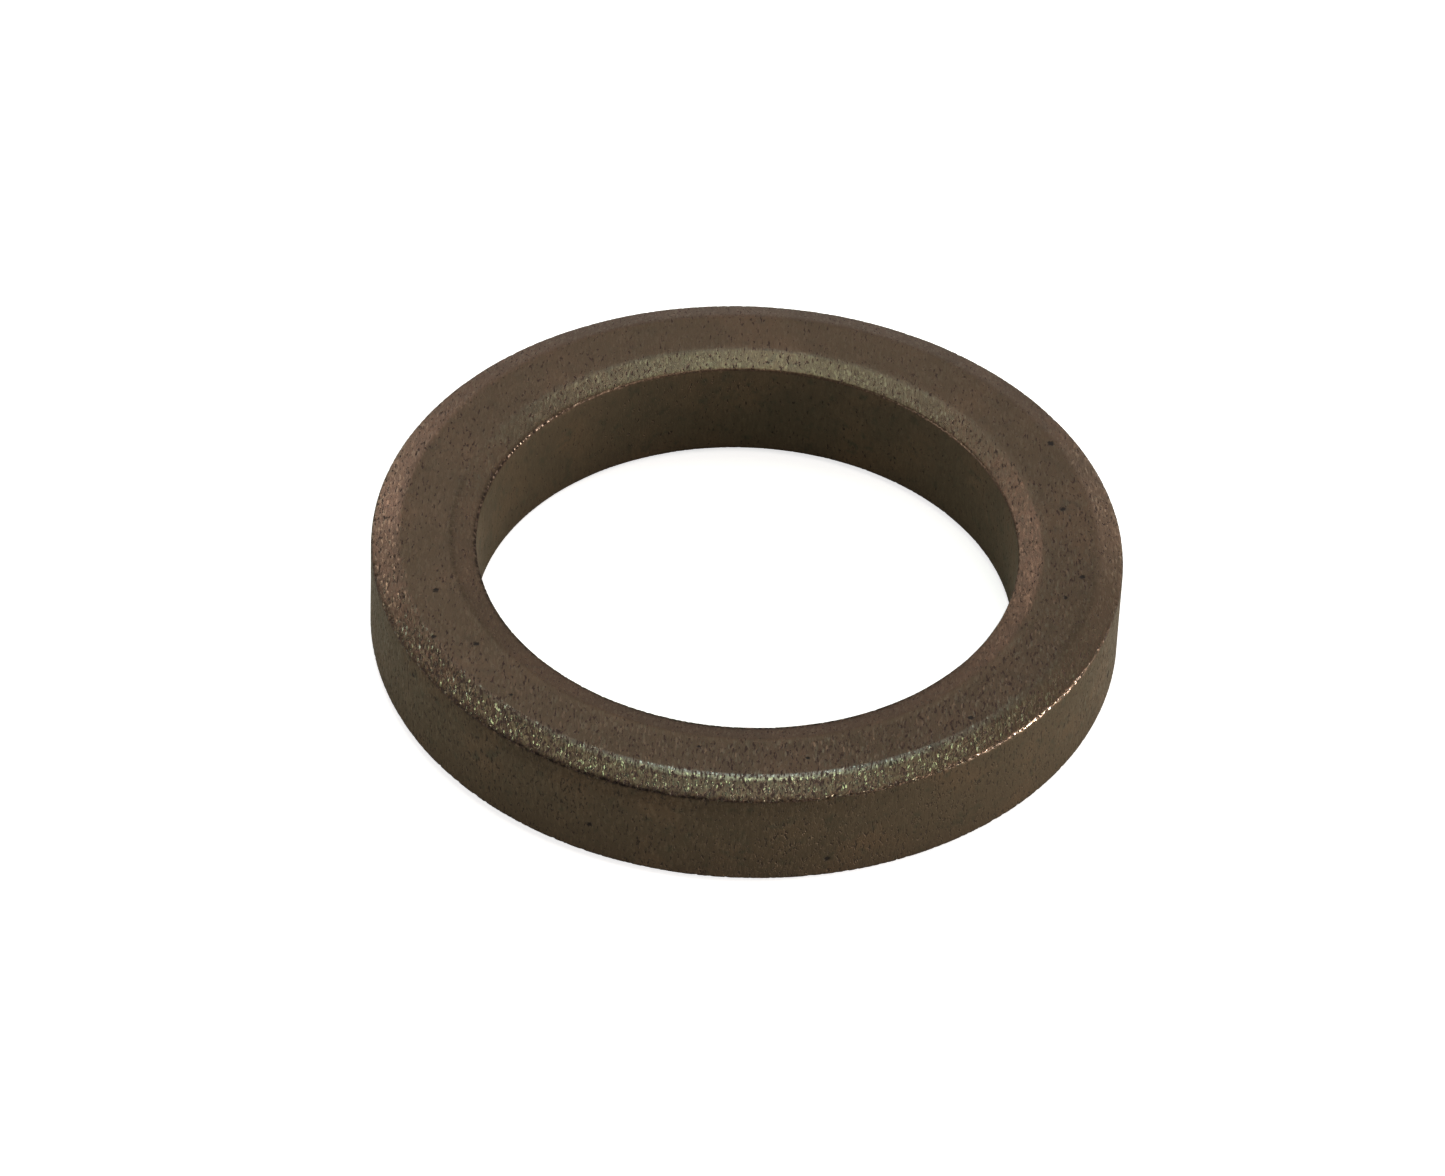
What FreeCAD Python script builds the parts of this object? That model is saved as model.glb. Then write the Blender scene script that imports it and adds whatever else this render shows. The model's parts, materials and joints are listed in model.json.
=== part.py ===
import FreeCAD, Part
import math
import os

# Plain sleeve bushing: one short ring of pressed and sintered bronze, with no flange,
# split, groove or liner. Both ends are alike. Each has a flat land between two wide,
# shallow bevels: one leads into the bore and one leads onto the outside wall. The land
# rolls softly into the bevels, and the bevels meet the walls at a nearly sharp edge.
#
# Frame: +Z runs along the bore. The origin is the centre of the lower end face, so the
# bushing stands on the XY plane. Millimetres throughout.

# Driving dimensions
outer_diameter = 25.0  # pressed into a housing
bore_diameter = 18.0  # runs on a shaft
length = 4.0  # over both end lands
outer_bevel_width = 0.90  # measured along the radius
outer_bevel_depth = 0.29  # measured along the axis
bore_bevel_width = 0.85  # measured along the radius
bore_bevel_depth = 0.23  # measured along the axis
least_land = 0.25  # on a thin wall both bevels shrink in step, and leave this much land
land_roll_radius = 0.80  # where an end land turns into a bevel
edge_break_radius = 0.06  # where a bevel meets a wall
corner_share = 0.45  # most of a side that the rounding of one corner may use up

outer_radius = outer_diameter / 2
bore_radius = bore_diameter / 2


def upper_end():
    """Corners of the upper end, from the outside wall to the bore: (radius, height, rounding)."""
    room = outer_radius - bore_radius - least_land
    share = min(1, room / (outer_bevel_width + bore_bevel_width))
    return [
        (outer_radius, length - share * outer_bevel_depth, edge_break_radius),
        (outer_radius - share * outer_bevel_width, length, land_roll_radius),
        (bore_radius + share * bore_bevel_width, length, land_roll_radius),
        (bore_radius, length - share * bore_bevel_depth, edge_break_radius),
    ]


def section_corners():
    """All the corners of the ring's section. The lower end mirrors the upper one."""
    upper = upper_end()
    lower = [(radius, length - height, rounding) for radius, height, rounding in reversed(upper)]
    return upper + lower


def corner_arc(before, corner, after, rounding):
    """The tangent arc that rounds a corner, as start, middle and end points in the XZ plane."""
    to_before = before - corner
    to_after = after - corner
    half_turn = (math.pi - to_before.getAngle(to_after)) / 2
    setback = min(
        rounding * math.tan(half_turn),
        corner_share * to_before.Length,
        corner_share * to_after.Length,
    )
    radius = setback / math.tan(half_turn)
    to_before.normalize()
    to_after.normalize()
    inward = to_before + to_after
    inward.normalize()
    start = corner + to_before * setback
    middle = corner + inward * (radius / math.cos(half_turn) - radius)
    end = corner + to_after * setback
    return start, middle, end


def section_wire():
    """Closed outline of the ring's section: straight sides joined by tangent arcs."""
    corners = section_corners()
    points = [FreeCAD.Vector(radius, 0, height) for radius, height, _ in corners]
    arcs = []
    for i, (_, _, rounding) in enumerate(corners):
        arcs.append(corner_arc(points[i - 1], points[i], points[(i + 1) % len(points)], rounding))
    edges = []
    for i, (start, middle, end) in enumerate(arcs):
        last_end = arcs[i - 1][2]
        edges.append(Part.LineSegment(last_end, start).toShape())
        edges.append(Part.Arc(start, middle, end).toShape())
    return Part.Wire(edges)


def sleeve_bushing():
    """The ring's section turned once round the bore axis."""
    section = Part.Face(section_wire())
    return section.revolve(FreeCAD.Vector(0, 0, 0), FreeCAD.Vector(0, 0, 1), 360)


def save(name, solid):
    if not solid.isValid() or solid.Volume <= 0:
        raise ValueError(f"{name} is not a sound solid")
    solid.exportStep(f"parts/{name}.step")
    print(f"{name}: {solid.Volume:.2f} mm3, {len(solid.Faces)} faces, box {solid.BoundBox}")


os.makedirs("parts", exist_ok=True)
save("sleeve_bushing", sleeve_bushing())
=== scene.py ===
import json
import math

import bpy
import numpy as np
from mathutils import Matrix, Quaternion, Vector


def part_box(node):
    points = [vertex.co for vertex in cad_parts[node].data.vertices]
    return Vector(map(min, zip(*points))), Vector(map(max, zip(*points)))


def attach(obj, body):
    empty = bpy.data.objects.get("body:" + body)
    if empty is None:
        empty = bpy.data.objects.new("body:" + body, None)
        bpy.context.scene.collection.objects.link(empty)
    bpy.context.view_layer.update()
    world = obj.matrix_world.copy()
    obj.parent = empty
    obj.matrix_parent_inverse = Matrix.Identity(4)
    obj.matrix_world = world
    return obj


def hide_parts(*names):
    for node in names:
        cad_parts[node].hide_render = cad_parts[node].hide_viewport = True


# Looks of a short sintered bronze sleeve bushing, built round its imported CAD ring.
# Metres throughout, in the CAD's frame: +Z along the bore, the lower end on z = 0.

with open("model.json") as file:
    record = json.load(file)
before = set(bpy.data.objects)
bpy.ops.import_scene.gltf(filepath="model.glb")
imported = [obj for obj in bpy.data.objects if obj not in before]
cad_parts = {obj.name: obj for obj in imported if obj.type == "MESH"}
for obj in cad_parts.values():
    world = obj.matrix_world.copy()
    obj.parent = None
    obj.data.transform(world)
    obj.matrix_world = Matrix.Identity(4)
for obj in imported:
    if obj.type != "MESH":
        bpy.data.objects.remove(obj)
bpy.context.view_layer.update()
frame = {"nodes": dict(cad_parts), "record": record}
mm = 0.001
mounts = {mount["name"]: mount for mount in frame["record"]["mounts"]}
ringLow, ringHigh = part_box("sleeve_bushing")
outerRadius = ringHigh.x
boreRadius = mounts["bore"]["dims"]["r_mm"] * mm
ringLength = ringHigh.z - ringLow.z
middleRadius = (outerRadius + boreRadius) / 2
print("frame loaded:", ", ".join(sorted(frame["nodes"])))

# The ring's section and how finely it is divided.
ringShape = {
    "outerBevel": (0.90 * mm, 0.29 * mm),  # along the radius, along the axis
    "boreBevel": (0.85 * mm, 0.23 * mm),
    "landRoll": 0.80 * mm,  # radius where an end land turns into a bevel
    "edgeBreak": 0.10 * mm,  # radius where a bevel meets a wall
    "rollAsBevel": 0.5,  # how much a roll counts as bevel in its grain and finish
    "stepsAround": 1200,
    "topSteps": {"edge": 5, "bevel": 7, "roll": 4, "land": 9},
    "bottomSteps": {"edge": 2, "bevel": 3, "roll": 2, "land": 4},
    "outerWallSteps": 13,
    "boreWallSteps": 10,
    "crowding": 0.75,  # how far a wall's steps crowd towards its edges, 0 to 1
}

# How far the real surface departs from the true section. All of it goes inwards.
ringFlaws = {
    "waveSize": 3.0 * mm,
    "waveDepth": 0.006 * mm,
    "waveShare": (0.5, 0.25),  # share of the depth where the wave is level, and what a crest adds
    "skinDepth": 0.0005 * mm,  # the least depth, which keeps the lower land just off z = 0
    "grainSize": 0.22 * mm,
    "grainLevel": 0.4,  # added to the grain's ripple; what is still below 0 stays flat
    "bevelGrainDepth": 0.002 * mm,
    "landGrainDepth": 0.001 * mm,
    "nickSize": 0.30 * mm,
    "fineNickSize": 0.16 * mm,
    "nickDepth": 0.040 * mm,
    "nickMix": (0.55, 0.65),  # how much of the large and of the fine ripple
    "nickLevel": -0.25,  # added to the mix; what is still below 0 is no nick
    "nickCoarse": (0.25, 0.95),  # share of the nicks in closed grain, and what coarse grain adds
    "deepest": 2.0,  # most that a nick or a grain can be, in its depths
    "lowNickShare": 0.4,  # how deep the lower end's nicks are against the upper end's
    "nickReach": 0.08 * mm,  # how far from an edge its nicks run
    "seed": 7,
}

# Where handling has rubbed the upper edges bright, with painted glints on the front bore edge, and
# painted shade: dark lines along the rolls, the edges and the top of the outside wall, where shade
# falls. Angles in degrees, 0 at +X, turning to +Y.
ringRubsAndGlints = {
    "depth": 0.024 * mm,
    "marks": [
        {"on": "outerEdge", "reach": 0.08 * mm, "angle": -37.0, "spread": 17.0, "amount": 0.72},
        {"on": "boreEdge", "reach": 0.07 * mm, "angle": 154.0, "spread": 30.0, "amount": 0.42},
        # Painted glints: light beads on the front bore edge, standing in for the floor's reflection on
        # it.
        {"on": "boreEdge", "reach": 0.14 * mm, "angle": -88.0, "spread": 35.0, "amount": 0.50},
    ],
}
# Painted shade: dark lines laid where shade falls, in the rolls, round the edges and under the outside
# edge.
ringShadeLines = {
    "wallTop": 0.34 * mm,  # how far below its edge the painted shade line on the outside wall runs
    "marks": [
        {"on": "outerRoll", "reach": 0.17 * mm, "angle": -22.0, "spread": 24.0, "amount": 0.40},
        {"on": "boreRoll", "reach": 0.10 * mm, "angle": -172.0, "spread": 30.0, "amount": 0.45},
        {"on": "boreEdge", "reach": 0.21 * mm, "angle": -84.0, "spread": 50.0, "amount": 1.2},
        {"on": "boreEdge", "reach": 0.12 * mm, "angle": -162.0, "spread": 34.0, "amount": 1.0},
        {"on": "boreEdge", "reach": 0.08 * mm, "angle": 150.0, "spread": 32.0, "amount": 1.0},
        {"on": "outerEdge", "reach": 0.10 * mm, "angle": -112.0, "spread": 42.0, "amount": 1.0},
        {"on": "wallTop", "reach": 0.32 * mm, "angle": -112.0, "spread": 38.0, "amount": 0.36},
    ],
}

# Where the crest between the upper land and the outer bevel is worn smoother, and where a pale colour is
# laid on it at the front as a painted highlight.
ringCrest = {"angle": -84.0, "spread": 34.0, "amount": 1.0}

# How coarse the grain is, from 0 to 1, and how much coarser on one side of the ring.
ringCoarseness = {
    "onLand": 0.15,
    "onBevel": 0.15,
    "onOuterWall": 0.60,
    "onBoreWall": 0.10,
    "bevelSide": {"angle": -105.0, "spread": 56.0, "amount": 1.2},
    "landSide": {"angle": -58.0, "spread": 72.0, "amount": 0.58},
}


# A straight stretch: start + (end - start) * t, where t is pulled towards both ends by a sine.
def straightStretch(start, end, steps, crowding=0.0):
    t = np.linspace(0, 1, steps, endpoint=False)
    t = t - crowding * np.sin(2 * math.pi * t) / (2 * math.pi)
    return start + (end - start) * t[:, None]


# A rounding: a circular arc from start to end that is tangent to both sides of the corner.
# Its centre lies on the corner's bisector, radius / sin(half the corner's angle) from the corner.
def roundStretch(corner, start, end, radius, steps):
    inward = (start + end) / 2 - corner
    inward = inward / np.linalg.norm(inward)
    halfCorner = math.acos(float(inward @ (start - corner)) / np.linalg.norm(start - corner))
    centre = corner + inward * radius / math.sin(halfCorner)
    first = math.atan2(*(start - centre)[::-1])
    turn = (math.atan2(*(end - centre)[::-1]) - first + math.pi) % (2 * math.pi) - math.pi
    angle = first + turn * np.linspace(0, 1, steps, endpoint=False)
    return centre + radius * np.stack([np.cos(angle), np.sin(angle)], 1)


# The section as (radius, height) points, anticlockwise, with the name of each point's stretch.
# It runs up the outside wall, in over the top end, down the bore and out under the bottom end.
def ringSection(shape):
    outerWide, outerDeep = shape["outerBevel"]
    boreWide, boreDeep = shape["boreBevel"]
    topCorners = [
        (outerRadius, ringLength - outerDeep),
        (outerRadius - outerWide, ringLength),
        (boreRadius + boreWide, ringLength),
        (boreRadius, ringLength - boreDeep),
    ]
    bottomCorners = [(radius, ringLength - height) for radius, height in topCorners[::-1]]
    corners = np.array(topCorners + bottomCorners)
    top, bottom = shape["topSteps"], shape["bottomSteps"]
    cornerNames = ["edge", "roll", "roll", "edge"] * 2
    cornerSteps = [top[name] for name in cornerNames[:4]] + [bottom[name] for name in cornerNames[4:]]
    sideNames = ["bevel", "land", "bevel", "boreWall", "bevel", "land", "bevel", "outerWall"]
    sideSteps = [top[name] for name in sideNames[:3]] + [shape["boreWallSteps"]]
    sideSteps += [bottom[name] for name in sideNames[4:7]] + [shape["outerWallSteps"]]
    radii = {"edge": shape["edgeBreak"], "roll": shape["landRoll"]}
    starts, ends = [], []
    for i, name in enumerate(cornerNames):
        toBefore = corners[i - 1] - corners[i]
        toAfter = corners[(i + 1) % 8] - corners[i]
        toBefore = toBefore / np.linalg.norm(toBefore)
        toAfter = toAfter / np.linalg.norm(toAfter)
        setback = radii[name] / math.tan(math.acos(float(toBefore @ toAfter)) / 2)
        starts.append(corners[i] + toBefore * setback)
        ends.append(corners[i] + toAfter * setback)
    points, names = [], []
    for i, name in enumerate(cornerNames):
        points.append(roundStretch(corners[i], starts[i], ends[i], radii[name], cornerSteps[i]))
        names += [name] * cornerSteps[i]
        crowding = shape["crowding"] if sideNames[i].endswith("Wall") else 0.0
        points.append(straightStretch(ends[i], starts[(i + 1) % 8], sideSteps[i], crowding))
        names += [sideNames[i]] * sideSteps[i]
    return np.concatenate(points), np.array(names)


# The grid that the ring is worked out on: section points one way and angles round the ring the
# other, with each section point's distance along the outline and its outward normal.
def ringGrid(shape):
    section, names = ringSection(shape)
    sides = np.linalg.norm(np.roll(section, -1, 0) - section, axis=1)
    along = np.roll(section, -1, 0) - np.roll(section, 1, 0)
    along = along / np.linalg.norm(along, axis=1)[:, None]
    return {
        "radius": section[:, 0],
        "height": section[:, 1],
        "names": names,
        "distance": np.concatenate([[0.0], np.cumsum(sides)[:-1]]),
        "outline": sides.sum(),
        "outwards": np.stack([along[:, 1], -along[:, 0]], 1),
        "angle": np.linspace(0, 2 * math.pi, shape["stepsAround"], endpoint=False),
    }


# A random rolling surface over the whole skin: the sum of many cosine waves of about one length,
# each with a whole number of waves round the ring and over the section, so that it has no seam.
def rippleField(grid, size, seed, waves=90, lengths=(0.75, 1.35)):
    random = np.random.default_rng(seed)
    heading = random.uniform(0, 2 * math.pi, waves)
    length = size * random.uniform(*lengths, waves)
    turns = np.rint(2 * math.pi * outerRadius / length * np.cos(heading))
    over = np.rint(grid["outline"] / length * np.sin(heading))
    phase = random.uniform(0, 2 * math.pi, waves)
    angle, share = grid["angle"], grid["distance"] / grid["outline"]
    field = np.zeros((angle.size, share.size))
    for i in range(waves):
        roundPart = turns[i] * angle[:, None]
        field += np.cos(roundPart + over[i] * 2 * math.pi * share[None, :] + phase[i])
    return field * math.sqrt(2 / waves)


# The outline distance at the middle of each corner of one kind, in the outline's order.
def cornerPlaces(grid, kind):
    distance, names = grid["distance"], grid["names"]
    starts = [i for i in range(len(names)) if names[i] == kind and names[i - 1] != kind]
    return [(distance[i] + distance[i + int(np.argmax(names[i:] != kind))]) / 2 for i in starts]


# Nearness to a place on the outline: 1 there, falling off as a bell curve of that reach.
def nearness(grid, place, reach):
    gap = np.abs(grid["distance"] - place)
    gap = np.minimum(gap, grid["outline"] - gap)
    return np.exp(-((gap / reach) ** 2))


# How much of a mark there is at each angle: a bell curve round its middle angle.
def around(angle, mark):
    gap = (angle - math.radians(mark["angle"]) + math.pi) % (2 * math.pi) - math.pi
    return mark["amount"] * np.exp(-((gap / math.radians(mark["spread"])) ** 2))


# Marks that run along the ring: for each, its bell curve round the ring times its nearness to its
# own place on the outline.
def markedLines(grid, lines, places):
    total = np.zeros((grid["angle"].size, grid["distance"].size))
    for mark in lines["marks"]:
        across = nearness(grid, places[mark["on"]], mark["reach"])
        total += around(grid["angle"], mark)[:, None] * across[None, :]
    return total


# How coarse the grain is at each point, from 0 to 1: a share for each kind of surface, and more
# on the coarse side of the lands and the outer bevels.
def coarseness(grid, amounts):
    angle, names = grid["angle"], grid["names"]
    kinds = [names == "outerWall", names == "boreWall", names == "land"]
    shares = [amounts["onOuterWall"], amounts["onBoreWall"], amounts["onLand"]]
    flat = np.select(kinds, shares, amounts["onBevel"])
    outerBevel = np.isin(names, ["bevel", "edge", "roll"]) & (grid["radius"] > middleRadius)
    added = around(angle, amounts["bevelSide"])[:, None] * outerBevel[None, :]
    added = added + around(angle, amounts["landSide"])[:, None] * (names == "land")[None, :]
    return np.clip(flat[None, :] + added, 0, 1)


# How nicked each point is: a large and a fine ripple mixed, cut off below a level and kept near
# the bevels' edges, with less on the lower end and more where the grain is coarse.
def nickedness(grid, edges, coarse, flaws):
    topOuter, topBore, lowBore, lowOuter = edges
    nearTop = sum(nearness(grid, place, flaws["nickReach"]) for place in (topOuter, topBore))
    nearLow = sum(nearness(grid, place, flaws["nickReach"]) for place in (lowBore, lowOuter))
    nearEdge = nearTop + flaws["lowNickShare"] * nearLow
    nick = rippleField(grid, flaws["nickSize"], flaws["seed"] + 2)
    fineNick = rippleField(grid, flaws["fineNickSize"], flaws["seed"] + 3)
    large, fine = flaws["nickMix"]
    rough = np.clip(large * nick + fine * fineNick + flaws["nickLevel"], 0, flaws["deepest"])
    least, added = flaws["nickCoarse"]
    return rough * nearEdge[None, :] * (least + added * coarse)


# How far inwards each point of the skin lies, waves and grain only. The waves swell about a share
# of their depth, and the grain is deeper on a bevel than on a land, and where it is coarse.
def skinRelief(grid, bevel, coarse, flaws):
    wave = rippleField(grid, flaws["waveSize"], flaws["seed"])
    grain = rippleField(grid, flaws["grainSize"], flaws["seed"] + 1)
    level, swell = flaws["waveShare"]
    relief = flaws["skinDepth"] + flaws["waveDepth"] * np.clip(level + swell * wave, 0, 1)
    grainDepth = flaws["landGrainDepth"] + (flaws["bevelGrainDepth"] - flaws["landGrainDepth"]) * bevel
    raised = np.clip(grain + flaws["grainLevel"], 0, flaws["deepest"])
    return relief + grainDepth[None, :] * coarse * raised


# The ring: its section carried round the Z axis, then pushed inwards along its normal by the
# relief, nicks and rubs of the real surface. Point (i, j) is section point j at angle i.
def buildRing(shape, flaws, rubsAndGlints, shadeLines, crest, amounts):
    grid = ringGrid(shape)
    names, angle, outwards = grid["names"], grid["angle"], grid["outwards"]
    edges = cornerPlaces(grid, "edge")
    rolls = cornerPlaces(grid, "roll")
    places = {"outerEdge": edges[0], "boreEdge": edges[1], "outerRoll": rolls[0], "boreRoll": rolls[1]}
    places["wallTop"] = edges[0] - shadeLines["wallTop"]

    bevel = np.isin(names, ["bevel", "edge"]) + shape["rollAsBevel"] * (names == "roll")
    onCrest = (names == "roll") & (grid["radius"] > middleRadius) & (grid["height"] > ringLength / 2)
    coarse = coarseness(grid, amounts)
    nicks = nickedness(grid, edges, coarse, flaws)
    rubAndGlint = np.clip(markedLines(grid, rubsAndGlints, places), 0, 1)
    inwards = skinRelief(grid, bevel, coarse, flaws) + flaws["nickDepth"] * nicks + rubsAndGlints["depth"] * rubAndGlint

    radius = grid["radius"][None, :] - inwards * outwards[None, :, 0]
    height = grid["height"][None, :] - inwards * outwards[None, :, 1]
    x = radius * np.cos(angle)[:, None]
    y = radius * np.sin(angle)[:, None]
    points = np.stack([x, y, height], 2).reshape(-1, 3)

    marks = {  # what the materials read from the mesh, each from 0 to 1
        "nick": np.clip(nicks, 0, 1),
        "bevel": np.broadcast_to(bevel, x.shape),
        # the rubs, and the painted glints on the front bore edge
        "rubAndGlint": rubAndGlint,
        # the painted shade lines
        "paintedShade": np.clip(markedLines(grid, shadeLines, places), 0, 1),
        # the crest: its worn polish, and where its painted highlight lies
        "crest": around(angle, crest)[:, None] * onCrest[None, :],
        "coarse": coarse,
    }
    wallRows = np.isin(names, ["outerWall", "boreWall"])
    return points, x.shape, marks, wallRows


# A grid of points that closes on itself both ways, made into one mesh of four-sided faces.
def torusMesh(name, points, shape, marks, wallRows, materials):
    rows, columns = shape
    i, j = np.meshgrid(np.arange(rows), np.arange(columns), indexing="ij")
    nextI, nextJ = (i + 1) % rows, (j + 1) % columns
    corners = [(i, j), (nextI, j), (nextI, nextJ), (i, nextJ)]
    faces = np.stack([a * columns + b for a, b in corners], 2).reshape(-1, 4)
    mesh = bpy.data.meshes.new(name)
    mesh.vertices.add(len(points))
    mesh.vertices.foreach_set("co", points.astype(np.float32).ravel())
    mesh.loops.add(faces.size)
    mesh.loops.foreach_set("vertex_index", faces.astype(np.int32).ravel())
    mesh.polygons.add(len(faces))
    mesh.polygons.foreach_set("loop_start", np.arange(0, faces.size, 4, dtype=np.int32))
    slots = np.broadcast_to(wallRows.astype(np.int32), shape).ravel()
    mesh.polygons.foreach_set("material_index", slots)
    mesh.polygons.foreach_set("use_smooth", np.ones(len(faces), bool))
    for markName, values in marks.items():
        mark = mesh.attributes.new(markName, "FLOAT", "POINT")
        mark.data.foreach_set("value", np.ascontiguousarray(values, np.float32).ravel())
    for material in materials:
        mesh.materials.append(material)
    mesh.update(calc_edges=True)
    mesh.validate()
    piece = bpy.data.objects.new(name, mesh)
    bpy.context.scene.collection.objects.link(piece)
    return piece


# One node with its settings, and its sockets fed by another node's output or by a plain value.
def addNode(tree, kind, settings=None, **feeds):
    node = tree.nodes.new(kind)
    for name, value in (settings or {}).items():
        setattr(node, name, value)
    for name, value in feeds.items():
        socket = node.inputs[int(name[1:])] if name[1:].isdigit() else node.inputs[name.replace("_", " ")]
        if isinstance(value, bpy.types.NodeSocket):
            tree.links.new(value, socket)
        else:
            socket.default_value = value
    return node


# Arithmetic on one, two or three values.
def mathNode(tree, operation, a, b=0.0, c=0.0):
    return addNode(tree, "ShaderNodeMath", {"operation": operation}, i0=a, i1=b, i2=c).outputs[0]


# The same for vectors. Dot products and distances come out as a value.
def vectorNode(tree, operation, a, b=(0, 0, 0)):
    outputs = addNode(tree, "ShaderNodeVectorMath", {"operation": operation}, i0=a, i1=b).outputs
    return outputs["Value" if operation in ("DOT_PRODUCT", "DISTANCE") else "Vector"]


# A value carried from one range to another, held at the ends, with soft shoulders.
def rangeNode(tree, value, low, high, toLow=0.0, toHigh=1.0, kind="SMOOTHSTEP"):
    settings = {"interpolation_type": kind}
    feeds = {"Value": value, "From_Min": low, "From_Max": high, "To_Min": toLow, "To_Max": toHigh}
    return addNode(tree, "ShaderNodeMapRange", settings, **feeds).outputs["Result"]


# One colour laid over another by a mask.
def mixNode(tree, mask, under, over, blend="MIX"):
    settings = {"data_type": "RGBA", "blend_type": blend}
    return addNode(tree, "ShaderNodeMix", settings, i0=mask, i6=under, i7=over).outputs[2]


# Soft noise of one grain size, from 0 to 1.
def noiseNode(tree, place, scale, detail=2.0, roughness=0.55):
    feeds = {"Vector": place, "Scale": scale, "Detail": detail, "Roughness": roughness}
    return addNode(tree, "ShaderNodeTexNoise", **feeds).outputs[0]


# A node group with named inputs, each with its usual value, and named outputs.
def newGroup(name, inputs, outputs):
    kinds = {"value": "NodeSocketFloat", "vector": "NodeSocketVector", "colour": "NodeSocketColor"}
    tree = bpy.data.node_groups.new(name, "ShaderNodeTree")
    for socketName, kind, value in inputs:
        socket = tree.interface.new_socket(name=socketName, in_out="INPUT", socket_type=kinds[kind])
        if value is not None:
            socket.default_value = value
    for socketName, kind in outputs:
        tree.interface.new_socket(name=socketName, in_out="OUTPUT", socket_type=kinds[kind])
    return tree, tree.nodes.new("NodeGroupInput").outputs, tree.nodes.new("NodeGroupOutput").inputs


# The shared patterns' own numbers. A pair is where an effect starts and where it is full.
patterns = {
    "poreRim": 0.10,  # how far above its level a pore's rim starts
    "poreRoughness": 0.6,
    "pitRaggedSize": 0.09 * mm,
    "pitRagged": 1.6,  # how ragged a pit's rim is, in its radii
    "pitRim": (2.1, 1.3),  # where a pit starts and is full, in its radii
    "grainRim": (0.75, 0.1),  # from a grain's low rim to its level middle, in grain sizes
    "grainCrown": 0.20,  # how high its middle stands
    "mottleFiner": 5.3,  # how much finer the cool patches are than the warm ones
    "mottleRoughness": 0.6,
    "warmPatches": (0.45, 0.68),
    "coolPatches": (0.52, 0.74),
}


# Open pores between the powder grains: dark where fine noise dips below a level.
def openPoresGroup():
    inputs = [("Place", "vector", None), ("Size", "value", 0.1 * mm), ("Level", "value", 0.35)]
    tree, given, out = newGroup("openPores", inputs, [("Pores", "value")])
    scale = mathNode(tree, "DIVIDE", 1.0, given["Size"])
    fine = noiseNode(tree, given["Place"], scale, 2.0, patterns["poreRoughness"])
    rim = mathNode(tree, "ADD", given["Level"], patterns["poreRim"])
    tree.links.new(rangeNode(tree, fine, rim, given["Level"]), out["Pores"])
    return tree


# A few listed pits: angle in degrees, distance from the axis, height, and size across.
chosenPits = [
    (-162, 10.70 * mm, 4.0 * mm, 0.22 * mm),
    (-146, 10.48 * mm, 4.0 * mm, 0.20 * mm),
    (-151, 11.55 * mm, 3.97 * mm, 0.19 * mm),
    (-132, 11.10 * mm, 4.0 * mm, 0.13 * mm),
    (-97, 10.40 * mm, 4.0 * mm, 0.13 * mm),
    (-78, 10.85 * mm, 4.0 * mm, 0.14 * mm),
    (-48, 11.20 * mm, 4.0 * mm, 0.20 * mm),
    (-12, 10.80 * mm, 4.0 * mm, 0.17 * mm),
    (-6, 11.17 * mm, 4.0 * mm, 0.20 * mm),
    (12, 10.70 * mm, 4.0 * mm, 0.22 * mm),
    (29, 11.50 * mm, 3.97 * mm, 0.27 * mm),
    (-112, 12.5 * mm, 1.53 * mm, 0.19 * mm),
    (-76, 12.5 * mm, 1.01 * mm, 0.20 * mm),
    (-149, 12.5 * mm, 3.00 * mm, 0.19 * mm),
    (-14, 12.5 * mm, 1.41 * mm, 0.26 * mm),
]


# Pits at the chosen places, ragged round their rims.
def markedPitsGroup():
    tree, given, out = newGroup("markedPits", [("Place", "vector", None)], [("Pits", "value")])
    nearest = 10.0  # in pit radii, further than any pit reaches
    for angle, radius, height, size in chosenPits:
        turn = math.radians(angle)
        middle = (radius * math.cos(turn), radius * math.sin(turn), height)
        distance = vectorNode(tree, "DISTANCE", given["Place"], middle)
        nearest = mathNode(tree, "MINIMUM", nearest, mathNode(tree, "DIVIDE", distance, size / 2))
    ragged = noiseNode(tree, given["Place"], 1 / patterns["pitRaggedSize"], 1.0)
    reach = mathNode(tree, "MULTIPLY_ADD", ragged, patterns["pitRagged"], nearest)
    tree.links.new(rangeNode(tree, reach, *patterns["pitRim"]), out["Pits"])
    return tree


# Powder grains: cells, each a facet with a tilt of its own, rounded off at its border, and with a
# random shade from 0 to 1. The height is in grain sizes.
def powderGrainGroup():
    inputs = [("Place", "vector", None), ("Size", "value", 0.12 * mm)]
    tree, given, out = newGroup("powderGrain", inputs, [("Height", "value"), ("Shade", "value")])
    scale = mathNode(tree, "DIVIDE", 1.0, given["Size"])
    cells = addNode(tree, "ShaderNodeTexVoronoi", Vector=given["Place"], Scale=scale).outputs
    tilt = vectorNode(tree, "SUBTRACT", cells["Color"], (0.5, 0.5, 0.5))
    offset = vectorNode(tree, "SUBTRACT", given["Place"], cells["Position"])
    facet = mathNode(tree, "MULTIPLY", vectorNode(tree, "DOT_PRODUCT", offset, tilt), scale)
    rounded = rangeNode(tree, cells["Distance"], *patterns["grainRim"])
    tree.links.new(mathNode(tree, "MULTIPLY_ADD", rounded, patterns["grainCrown"], facet), out["Height"])
    shade = addNode(tree, "ShaderNodeSeparateColor", Color=cells["Color"]).outputs["Blue"]
    tree.links.new(shade, out["Shade"])
    return tree


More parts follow.
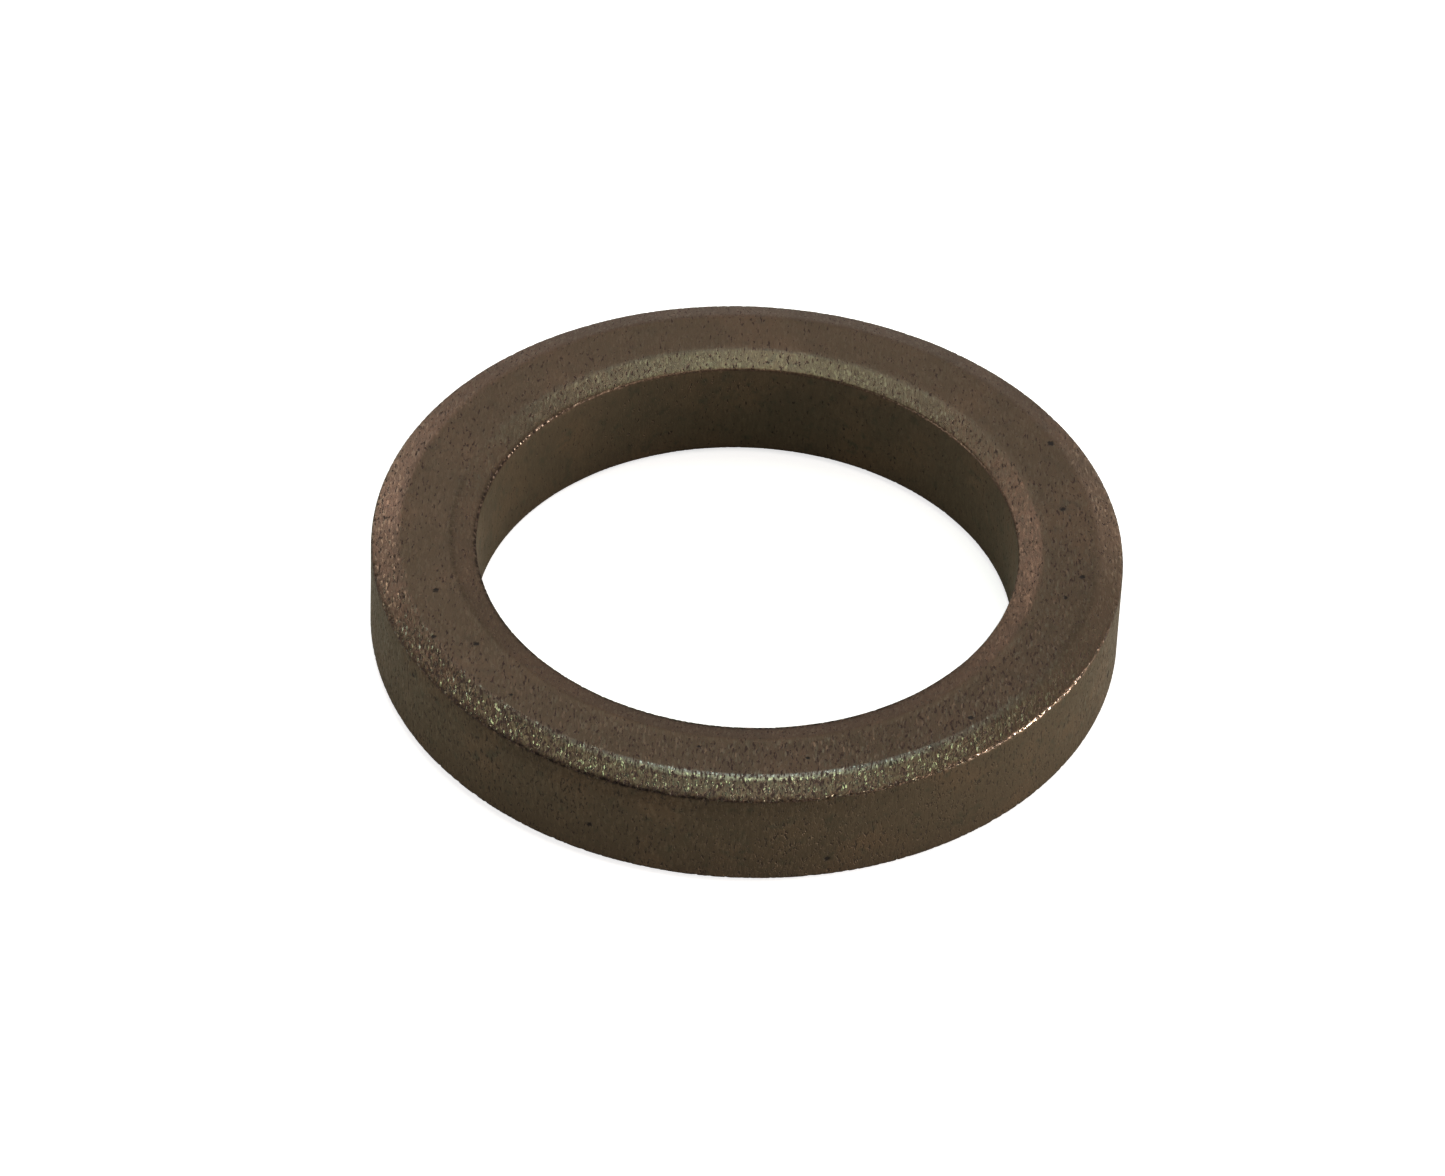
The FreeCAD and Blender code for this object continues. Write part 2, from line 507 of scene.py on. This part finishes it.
# Oil and tarnish: three colours in soft patches, one large pattern and one small.
def oilMottleGroup():
    inputs = [("Place", "vector", None), ("Size", "value", 3 * mm), ("Base", "colour", None),
              ("Warm", "colour", None), ("Cool", "colour", None)]
    tree, given, out = newGroup("oilMottle", inputs, [("Colour", "colour"), ("Patch", "value")])
    scale = mathNode(tree, "DIVIDE", 1.0, given["Size"])
    large = noiseNode(tree, given["Place"], scale, 3.0)
    finer = mathNode(tree, "MULTIPLY", scale, patterns["mottleFiner"])
    small = noiseNode(tree, given["Place"], finer, 3.0, patterns["mottleRoughness"])
    warmMask = rangeNode(tree, large, *patterns["warmPatches"])
    coolMask = rangeNode(tree, small, *patterns["coolPatches"])
    warm = mixNode(tree, warmMask, given["Base"], given["Warm"])
    cool = mixNode(tree, coolMask, warm, given["Cool"])
    tree.links.new(cool, out["Colour"])
    tree.links.new(large, out["Patch"])
    return tree


groups = {
    "openPores": openPoresGroup(),
    "powderGrain": powderGrainGroup(),
    "markedPits": markedPitsGroup(),
    "oilMottle": oilMottleGroup(),
}
print("node groups built:", ", ".join(groups))


# One of the shared groups placed in a material, with that material's own values.
def useGroup(tree, name, **feeds):
    return addNode(tree, "ShaderNodeGroup", {"node_tree": groups[name]}, **feeds).outputs


# A new material's tree, its shader and the shader's constant values.
def newMaterial(name, constants):
    material = bpy.data.materials.new(name)
    material.use_nodes = True
    tree = material.node_tree
    tree.nodes.clear()
    shader = tree.nodes.new("ShaderNodeBsdfPrincipled")
    output = tree.nodes.new("ShaderNodeOutputMaterial")
    tree.links.new(shader.outputs["BSDF"], output.inputs["Surface"])
    for socketName, value in constants.items():
        shader.inputs[socketName].default_value = value
    return material, tree, shader


# The lands and bevels, as the punches pressed them. Colours are the metal's own, in linear light, but for
# the painted glints laid with the rubbed colour.
# A pair of values is for closed and then coarse grain, unless its note says otherwise.
pressedEndLook = {
    "base": (0.112, 0.073, 0.046, 1),
    "warm": (0.130, 0.079, 0.048, 1),
    "cool": (0.098, 0.066, 0.042, 1),
    "pore": (0.046, 0.025, 0.018, 1),
    "fleck": (0.30, 0.285, 0.19, 1),  # grains worn bright
    # bare metal where rubbed, and the colour of the painted glints on the front bore edge
    "rubbedAndGlinting": (0.97, 0.73, 0.57, 1),
    "lay": (1.0, 0.30, 1.0),  # the grain is drawn out along Y
    "mottleSize": 3.2 * mm,
    "grainSize": 0.060 * mm,
    "grainShade": (0.92, 0.16),  # least shade, and how much a grain adds at most
    "coarseDim": (0.24, 0.0),  # how much coarse grain darkens a land, a bevel
    "grainTilt": (0.08, 0.62),
    "fleckAmount": (0.0, 0.50),
    "fleckPlace": (0.30, 1.0),  # how much of it shows on a land, on a bevel
    "polish": (0.04, 0.28),  # how much smoother the brightest grains are
    "poreSize": 0.075 * mm,
    "poreLevel": (0.295, 0.380),
    "poreCluster": 0.05,  # how much the pores gather in patches
    "poreDepth": 0.5,  # in grain sizes
    "roughness": (0.56, 0.43),  # land, bevel
    "darkShare": 0.95,  # how dark the painted shade lines and the nicks are
    "coatWeight": (0.15, 0.35),  # where the oil is thin, where it is thick
    "constants": {"Coat Roughness": 0.32, "Coat IOR": 1.45},
}

# The outside and bore walls, drawn smooth by the die and the core rod.
drawnWallLook = {
    "base": (0.130, 0.095, 0.060, 1),
    "warm": (0.160, 0.108, 0.065, 1),
    "cool": (0.098, 0.081, 0.052, 1),
    "pore": (0.048, 0.034, 0.022, 1),
    "fleck": (0.25, 0.18, 0.115, 1),
    "rubbedAndGlinting": (0.92, 0.60, 0.42, 1),
    "lay": (1.0, 1.0, 0.40),  # the grain is drawn out along the axis
    "mottleSize": 2.4 * mm,
    "grainSize": 0.075 * mm,
    "grainShade": (0.93, 0.14),
    "coarseDim": (0.0, 0.0),
    "grainTilt": (0.02, 0.22),
    "fleckAmount": (0.0, 0.25),
    "fleckPlace": (1.0, 1.0),
    "polish": (0.02, 0.14),
    "poreSize": 0.085 * mm,
    "poreLevel": (0.26, 0.375),
    "poreCluster": 0.06,
    "poreDepth": 0.4,
    "roughness": (0.50, 0.50),
    # how dark the painted shade lines and the nicks are
    "darkShare": 0.85,
    "coatWeight": (0.04, 0.12),
    "constants": {"Coat Roughness": 0.20, "Coat IOR": 1.45, "Specular Tint": (1.0, 0.94, 0.82, 1)},
}


# What both finishes share. A pair is where an effect starts and where it is full, unless its note
# says otherwise.
sharedLook = {
    # pit: the pits' own near-black colour, also laid as the painted shade of the shade lines
    "pit": (0.016, 0.011, 0.009, 1),
    "crest": (0.24, 0.235, 0.20, 1),  # painted highlight: the pale colour laid on the crest between land and bevel at the front
    "crestShare": 0.27,
    "crestPolish": 0.20,  # how much smoother it is
    "crestTilt": -0.78,  # how much flatter its grains are
    "brightShade": (0.70, 0.92),  # the grains that are worn bright, by their shade
    "rubAndGlintShown": (0.05, 0.80),
    "beadSize": 0.12 * mm,
    "beadLevel": (0.68, 0.36),  # bead noise shows above it where a rub is faint, strong
    "beadRim": 0.08,  # how soft the rim of a rubbed bead is
    "raggedBeads": (0.60, 0.42),  # where the painted shade lines and the nicks are darkest, by the bead noise
    "raggedLeast": 0.45,  # how dark they are between the beads
    "rubAndGlintPolish": -0.25,  # what a rub or a painted glint adds to the roughness
    "hollowRoughness": 0.30,  # what a pore or a painted shade line adds to it
    "hollowMetal": (0.95, 0.50),  # how metallic the metal is, and a pore
    "hollowCoat": -0.40,  # what a pore or a painted shade line adds to the oil
    "patchRange": (0.30, 0.70),  # the range of the mottle over which the oil thickens
}


# The value stored on the mesh under a name.
def markNode(tree, name):
    return addNode(tree, "ShaderNodeAttribute", {"attribute_name": name}).outputs["Fac"]


# A mask carried from the first of a pair of values, where it is 0, to the second, where it is 1.
def pairNode(tree, mask, pair):
    return rangeNode(tree, mask, 0, 1, *pair, "LINEAR")


# The greatest of several masks.
def greatest(tree, first, *others):
    for other in others:
        first = mathNode(tree, "MAXIMUM", first, other)
    return first


# Sintered bronze: oiled metal grains with dark pores between them. Colour is the mottle times
# each grain's shade, with flecks, the crest's painted highlight, rubs and painted glints, painted
# shade lines and nicks, pores and pits laid over it in that order.
def bronzeMaterial(name, look, shared):
    material, tree, shader = newMaterial(name, look["constants"])
    marks = ("bevel", "coarse", "rubAndGlint", "nick", "paintedShade", "crest")
    bevel, coarse, rubAndGlint, nick, paintedShade, crest = [markNode(tree, mark) for mark in marks]
    place = addNode(tree, "ShaderNodeTexCoord").outputs["Object"]
    drawn = vectorNode(tree, "MULTIPLY", place, look["lay"])
    mottle = useGroup(tree, "oilMottle", Place=place, Size=look["mottleSize"], Base=look["base"],
                      Warm=look["warm"], Cool=look["cool"])
    grain = useGroup(tree, "powderGrain", Place=drawn, Size=look["grainSize"])
    gathered = pairNode(tree, mottle["Patch"], (-look["poreCluster"], look["poreCluster"]))
    poreLevel = mathNode(tree, "ADD", pairNode(tree, coarse, look["poreLevel"]), gathered)
    pores = useGroup(tree, "openPores", Place=drawn, Size=look["poreSize"], Level=poreLevel)
    marked = useGroup(tree, "markedPits", Place=place)["Pits"]

    least, most = look["grainShade"]
    shade = mathNode(tree, "MULTIPLY_ADD", grain["Shade"], most, least)
    dim = mathNode(tree, "MULTIPLY", coarse, pairNode(tree, bevel, look["coarseDim"]))
    dimmed = mathNode(tree, "MULTIPLY", shade, mathNode(tree, "SUBTRACT", 1.0, dim))
    shaded = mixNode(tree, 1.0, mottle["Colour"], dimmed, "MULTIPLY")
    bright = rangeNode(tree, grain["Shade"], *shared["brightShade"])
    fleck = mathNode(tree, "MULTIPLY", bright, pairNode(tree, coarse, look["fleckAmount"]))
    fleck = mathNode(tree, "MULTIPLY", fleck, pairNode(tree, bevel, look["fleckPlace"]))
    flecked = mixNode(tree, fleck, shaded, look["fleck"])
    # Painted highlight: a pale colour laid along the crest at the front.
    crestMask = mathNode(tree, "MULTIPLY", crest, shared["crestShare"])
    crested = mixNode(tree, crestMask, flecked, shared["crest"])

    # Rubs, and the painted glints on the front bore edge, as beads of pale metal.
    beads = noiseNode(tree, place, 1 / shared["beadSize"], 1.0)
    beadLevel = pairNode(tree, rubAndGlint, shared["beadLevel"])
    beaded = rangeNode(tree, beads, beadLevel, mathNode(tree, "ADD", beadLevel, shared["beadRim"]))
    rubAndGlintMask = mathNode(tree, "MULTIPLY", beaded, rangeNode(tree, rubAndGlint, *shared["rubAndGlintShown"]))
    clearOfRubAndGlint = mathNode(tree, "SUBTRACT", 1.0, rubAndGlintMask)
    rubbedAndGlinting = mixNode(tree, rubAndGlintMask, crested, look["rubbedAndGlinting"])
    # Painted shade along the shade lines, near black, together with the nicks' own darkness.
    dark = mathNode(tree, "MULTIPLY", greatest(tree, nick, paintedShade), look["darkShare"])
    between = rangeNode(tree, beads, *shared["raggedBeads"], shared["raggedLeast"], 1.0)
    ragged = mathNode(tree, "MULTIPLY", mathNode(tree, "MULTIPLY", dark, between), clearOfRubAndGlint)
    nickedAndShaded = mixNode(tree, ragged, rubbedAndGlinting, shared["pit"])
    pore = mathNode(tree, "MULTIPLY", pores["Pores"], clearOfRubAndGlint)
    pit = mathNode(tree, "MULTIPLY", marked, clearOfRubAndGlint)
    pored = mixNode(tree, pore, nickedAndShaded, look["pore"])
    tree.links.new(mixNode(tree, pit, pored, shared["pit"]), shader.inputs["Base Color"])

    hollow = greatest(tree, pore, pit)
    dull = greatest(tree, hollow, ragged)
    polish = mathNode(tree, "MULTIPLY", bright, pairNode(tree, coarse, look["polish"]))
    polished = mathNode(tree, "SUBTRACT", pairNode(tree, bevel, look["roughness"]), polish)
    worn = mathNode(tree, "MULTIPLY_ADD", crest, -shared["crestPolish"], polished)
    opened = mathNode(tree, "MULTIPLY_ADD", dull, shared["hollowRoughness"], worn)
    roughness = mathNode(tree, "MULTIPLY_ADD", rubAndGlintMask, shared["rubAndGlintPolish"], opened)
    tree.links.new(roughness, shader.inputs["Roughness"])
    tree.links.new(pairNode(tree, hollow, shared["hollowMetal"]), shader.inputs["Metallic"])
    oil = rangeNode(tree, mottle["Patch"], *shared["patchRange"], *look["coatWeight"], "LINEAR")
    coat = mathNode(tree, "MULTIPLY_ADD", dull, shared["hollowCoat"], oil)
    tree.links.new(coat, shader.inputs["Coat Weight"])

    flatter = mathNode(tree, "MULTIPLY_ADD", crest, shared["crestTilt"], 1.0)
    tilt = mathNode(tree, "MULTIPLY", pairNode(tree, coarse, look["grainTilt"]), flatter)
    tilted = mathNode(tree, "MULTIPLY", grain["Height"], tilt)
    height = mathNode(tree, "MULTIPLY_ADD", hollow, -look["poreDepth"], tilted)
    bump = addNode(tree, "ShaderNodeBump", Strength=1.0, Distance=look["grainSize"], Height=height)
    tree.links.new(bump.outputs["Normal"], shader.inputs["Normal"])
    return material


materials = [
    bronzeMaterial("pressedEnd", pressedEndLook, sharedLook),
    bronzeMaterial("drawnWall", drawnWallLook, sharedLook),
]
print("materials built:", ", ".join(material.name for material in materials))

ringParts = buildRing(ringShape, ringFlaws, ringRubsAndGlints, ringShadeLines, ringCrest, ringCoarseness)
ring = torusMesh("sinteredRing", *ringParts, materials)
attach(ring, "root")
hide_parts("sleeve_bushing")
print("ring built:", len(ring.data.polygons), "faces")

# The studio: a pale floor, a dim pale surround and soft boxes, placed round the ring by angle.
# Azimuth 0 is behind the ring as the camera sees it, and turns towards +X.
studio = {
    "floorSize": 4.0,
    "floorColour": (0.92, 0.92, 0.92, 1),
    "floorGlow": 0.80,  # so that the floor's shadow stays pale
    "floorToMetal": 0.50,  # how bright the metal sees the floor
    "surround": (0.142, 0.128, 0.132, 1),
    "surroundSeen": (1.0, 1.0, 1.0, 1),
    "boxDistance": 0.5,
    "boxes": {
        "crestBox": {"azimuth": 0, "elevation": 60, "wide": 0.19, "tall": 0.12, "watts": 0.25,
                     "colour": (0.78, 1.03, 1.15)},
        "overBox": {"azimuth": 0, "elevation": 79, "wide": 0.24, "tall": 0.15, "watts": 0.46,
                    "colour": (0.84, 1.12, 0.84)},
        "frontBox": {"azimuth": 150, "elevation": 60, "wide": 0.20, "tall": 0.20, "watts": 0.46,
                     "colour": (1.05, 0.98, 0.88)},
        "rightBox": {"azimuth": 100, "elevation": 12, "wide": 0.32, "tall": 0.18, "watts": 2.70,
                     "colour": (1.05, 0.97, 0.93)},
        "leftLowBox": {"azimuth": -100, "elevation": 12, "wide": 0.32, "tall": 0.18, "watts": 0.85,
                       "colour": (1.03, 0.99, 0.96)},
        "leftBox": {"azimuth": -27, "elevation": 34, "wide": 0.14, "tall": 0.14, "watts": 0.23,
                    "colour": (1.18, 0.93, 0.87)},
        "rightHighBox": {"azimuth": 27, "elevation": 34, "wide": 0.14, "tall": 0.14, "watts": 0.05,
                         "colour": (1.10, 0.98, 0.86)},
        "backLeftBox": {"azimuth": -35, "elevation": 12, "wide": 0.20, "tall": 0.20, "watts": 0.25,
                        "colour": (1.08, 0.98, 0.86)},
        "backRightBox": {"azimuth": 35, "elevation": 12, "wide": 0.20, "tall": 0.20, "watts": 0.28,
                         "colour": (1.08, 0.98, 0.86)},
        "backBox": {"azimuth": 0, "elevation": 10, "wide": 0.26, "tall": 0.10, "watts": 0.055,
                    "colour": (1.10, 0.98, 0.84)},
    },
}


# A flat floor at z = 0. The camera sees it pale; the metal sees it as a darker table.
def buildFloor(look):
    half = look["floorSize"] / 2
    mesh = bpy.data.meshes.new("studioFloor")
    corners = [(-half, -half, 0), (half, -half, 0), (half, half, 0), (-half, half, 0)]
    mesh.from_pydata(corners, [], [(0, 1, 2, 3)])
    material = bpy.data.materials.new("paleFloor")
    material.use_nodes = True
    tree = material.node_tree
    tree.nodes.clear()
    seen = addNode(tree, "ShaderNodeLightPath").outputs["Is Camera Ray"]
    pale = addNode(tree, "ShaderNodeBsdfDiffuse", Color=look["floorColour"]).outputs[0]
    feeds = {"Color": look["floorColour"], "Strength": look["floorGlow"]}
    glow = addNode(tree, "ShaderNodeEmission", **feeds).outputs[0]
    both = addNode(tree, "ShaderNodeAddShader", i0=pale, i1=glow).outputs[0]
    grey = (look["floorToMetal"],) * 3 + (1,)
    table = addNode(tree, "ShaderNodeBsdfDiffuse", Color=grey).outputs[0]
    mixed = addNode(tree, "ShaderNodeMixShader", i0=seen, i1=table, i2=both).outputs[0]
    addNode(tree, "ShaderNodeOutputMaterial", Surface=mixed)
    mesh.materials.append(material)
    floor = bpy.data.objects.new("studioFloor", mesh)
    bpy.context.scene.collection.objects.link(floor)


# The surround: one even grey for the light it gives, and pale where the camera sees it.
def buildSurround(look):
    world = bpy.data.worlds.new("paleSurround")
    world.use_nodes = True
    tree = world.node_tree
    tree.nodes.clear()
    seen = addNode(tree, "ShaderNodeLightPath").outputs["Is Camera Ray"]
    colour = mixNode(tree, seen, look["surround"], look["surroundSeen"])
    background = addNode(tree, "ShaderNodeBackground", Color=colour).outputs[0]
    addNode(tree, "ShaderNodeOutputWorld", Surface=background)
    bpy.context.scene.world = world


# One soft box, aimed at the ring from its azimuth and elevation.
def buildBox(name, box, distance):
    turn, lift = math.radians(box["azimuth"]), math.radians(box["elevation"])
    towards = Vector((math.sin(turn) * math.cos(lift), math.cos(turn) * math.cos(lift), math.sin(lift)))
    lamp = bpy.data.lights.new(name, "AREA")
    lamp.shape = "RECTANGLE"
    lamp.size = box["wide"]
    lamp.size_y = box["tall"]
    lamp.energy = box["watts"]
    lamp.color = box["colour"]
    holder = bpy.data.objects.new(name, lamp)
    holder.location = towards * distance
    holder.rotation_mode = "QUATERNION"
    holder.rotation_quaternion = towards.to_track_quat("Z", "Y")
    bpy.context.scene.collection.objects.link(holder)


buildFloor(studio)
buildSurround(studio)
for boxName, box in studio["boxes"].items():
    buildBox(boxName, box, studio["boxDistance"])
print("studio built")

# A long lens looking down at the ring from the front.
cameraLook = {
    "azimuth": 0.22,  # degrees round from the front, towards +X
    "elevation": 41.46,
    "roll": 2.49,
    "distance": 265.1 * mm,
    "aim": Vector((-0.765 * mm, -0.130 * mm, 1.856 * mm)),
    "lens": 198.0,
    "sensorWidth": 36.0,
    "clip": (0.01, 20.0),
}


# The camera stands off the aim point by its azimuth, elevation and distance, then rolls.
def buildCamera(look):
    turn, lift = math.radians(look["azimuth"]), math.radians(look["elevation"])
    back = Vector((math.sin(turn) * math.cos(lift), -math.cos(turn) * math.cos(lift), math.sin(lift)))
    camera = bpy.data.cameras.new("productCamera")
    camera.lens = look["lens"]
    camera.sensor_width = look["sensorWidth"]
    camera.clip_start, camera.clip_end = look["clip"]
    holder = bpy.data.objects.new("productCamera", camera)
    holder.location = look["aim"] + back * look["distance"]
    holder.rotation_mode = "QUATERNION"
    roll = Quaternion((0, 0, 1), math.radians(look["roll"]))
    holder.rotation_quaternion = (-back).to_track_quat("-Z", "Y") @ roll
    bpy.context.scene.collection.objects.link(holder)
    bpy.context.scene.camera = holder


buildCamera(cameraLook)
bpy.context.scene.view_settings.view_transform = "Standard"
print("camera placed")
